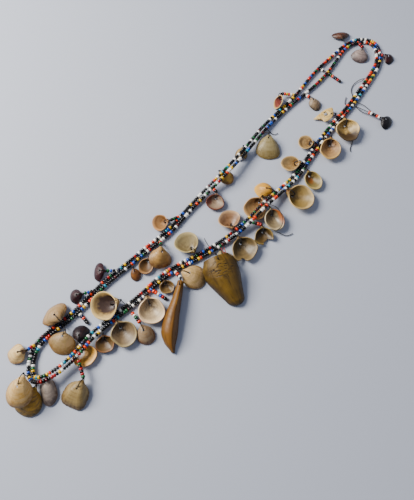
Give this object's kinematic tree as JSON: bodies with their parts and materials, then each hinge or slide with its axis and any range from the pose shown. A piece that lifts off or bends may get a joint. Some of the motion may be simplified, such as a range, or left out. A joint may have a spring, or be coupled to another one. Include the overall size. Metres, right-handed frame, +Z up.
{
  "type": "shell necklace",
  "caption": "Long necklace of limpet-like sea shells and horn sheaths tied by threads and beaded drops to a closed double string of glass seed beads.",
  "frame": {"origin": "on the table, under the middle of the necklace as it lies", "axes": "+X along the lying loop from its front end to the nape end, +Z up from the table"},
  "size_m": [0.3291, 0.0826, 0.0143],
  "materials": {
    "shell_dark_red": "satin, dark red to purple brown",
    "shell_grey": "satin, grey with darker margins",
    "shell_cream": "satin, cream inside and out",
    "shell_tan": "satin, tan to peach",
    "shell_brown": "satin, brown growth rings",
    "shell_black": "glossy, almost black",
    "shell_maroon": "satin, maroon with a peach rim",
    "shell_yellow": "satin, yellow and ribbed",
    "horn_amber": "glossy amber horn",
    "horn_brown": "glossy brown horn",
    "seed_beads": "glossy opaque glass seed beads, mostly black",
    "thread": "waxed dark cotton thread"
  },
  "bodies": {
    "root": {"bead_string_inner": "seed_beads", "bead_string_outer": "seed_beads", "horn_broad": "horn_brown", "horn_slim": "horn_amber", "shell_01_dark_fan": "shell_dark_red", "shell_02_grey_fan": "shell_grey", "shell_03_grey_oval": "shell_grey", "shell_04_maroon_cup": "shell_maroon", "shell_05_cream_fan": "shell_cream", "shell_06_tan_fragment": "shell_tan", "shell_07_tan_round": "shell_tan", "shell_08_white_pink_cup": "shell_tan", "shell_09_tan_cup": "shell_tan", "shell_10_tan_dome": "shell_tan", "shell_11_tan_cup": "shell_brown", "shell_12_small_brown": "shell_brown", "shell_13_purple_dome": "shell_dark_red", "shell_14_yellow_cup": "shell_cream", "shell_15_dark_red_dome": "shell_dark_red", "shell_16_banded_dome": "shell_black", "shell_17_cream_pink_dome": "shell_cream", "shell_18_flat_cream": "shell_cream", "shell_19_cream_brown_band": "shell_cream", "shell_20_peach_dome": "shell_tan", "shell_21_brown_ridged": "shell_brown", "shell_22_silver_narrow": "shell_grey", "shell_23_green_cream": "shell_cream", "shell_24_amber_cup": "shell_brown", "shell_25_brown_cup": "shell_brown", "shell_26_grey_cream_cup": "shell_cream", "shell_27_cream_red_marks": "shell_cream", "shell_28_white_cup": "shell_cream", "shell_29_small_brown_cup": "shell_brown", "shell_30_fine_ribbed": "shell_tan", "shell_31_pale_hidden": "shell_cream", "shell_32_cream_grey_cup": "shell_cream", "shell_33_grey_chipped_cup": "shell_grey", "shell_34_tan_pink_cup": "shell_tan", "shell_35_broken_cup": "shell_brown", "shell_36_triangular_cup": "shell_brown", "shell_37_crumpled_cup": "shell_grey", "shell_38_yellow_ribbed": "shell_yellow", "shell_39_large_cream_cup": "shell_cream", "shell_40_streaked_cup": "shell_cream", "shell_41_cream_tan_cup": "shell_cream", "shell_42_notched_cup": "shell_tan", "shell_43_brown_centre_cup": "shell_brown", "shell_44_dark_edged_cup": "shell_cream", "shell_45_black_dome": "shell_black", "shell_46_dark_round": "shell_dark_red", "shell_47_star_fragment": "shell_yellow"}
  },
  "joints": []
}
